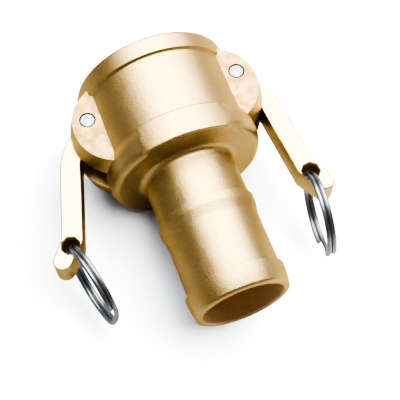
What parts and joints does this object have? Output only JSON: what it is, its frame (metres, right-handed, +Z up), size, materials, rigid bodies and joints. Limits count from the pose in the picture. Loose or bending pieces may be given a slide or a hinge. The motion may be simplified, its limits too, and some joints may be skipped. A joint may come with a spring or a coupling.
{
  "type": "camlock coupling",
  "caption": "Brass camlock coupler with a barbed hose tail: a round socket with a gasket, hinged cam arms with pull rings, and a stepped shank for a hose.",
  "frame": {"origin": "centre of the mouth face, on the coupling's axis", "axes": "+Y along the axis out of the mouth, the hose tail along -Y, the hinge pins along Z, +X to the right arm; the coupling lies on its side with +Z up"},
  "size_m": [0.1191, 0.1109, 0.0666],
  "materials": {
    "cast_brass": "shot-blasted casting",
    "arm_brass": "satin tumbled",
    "pin_steel": "turned end",
    "ring_steel": "bright plated spring wire",
    "gasket_rubber": "matte"
  },
  "bodies": {
    "coupler": {"coupler_body": "cast_brass", "gasket": "gasket_rubber", "hinge_pin_left": "pin_steel", "hinge_pin_right": "pin_steel"},
    "arm_left": {"cam_arm_left": "arm_brass"},
    "arm_right": {"cam_arm_right": "arm_brass"},
    "ring_left": {"split_ring_left": "ring_steel"},
    "ring_right": {"split_ring_right": "ring_steel"}
  },
  "joints": [
    {"name": "left_arm_hinge", "type": "hinge", "parent": "coupler", "child": "arm_left", "pos_m": [-0.0329, -0.0191, 0], "axis": [0, 0, -1], "range_deg": [-16.2, 88.8]},
    {"name": "right_arm_hinge", "type": "hinge", "parent": "coupler", "child": "arm_right", "pos_m": [0.0329, -0.0191, 0], "axis": [0, 0, 1], "range_deg": [-4.6, 100.4]},
    {"name": "left_ring_swing", "type": "hinge", "parent": "arm_left", "child": "ring_left", "pos_m": [-0.05615, -0.06525, 0], "axis": [0, 0, 1], "range_deg": [-119.6, 5.4]},
    {"name": "right_ring_swing", "type": "hinge", "parent": "arm_right", "child": "ring_right", "pos_m": [0.04639, -0.06898, 0], "axis": [0, 0, -1], "range_deg": [-101.4, 23.6]}
  ]
}
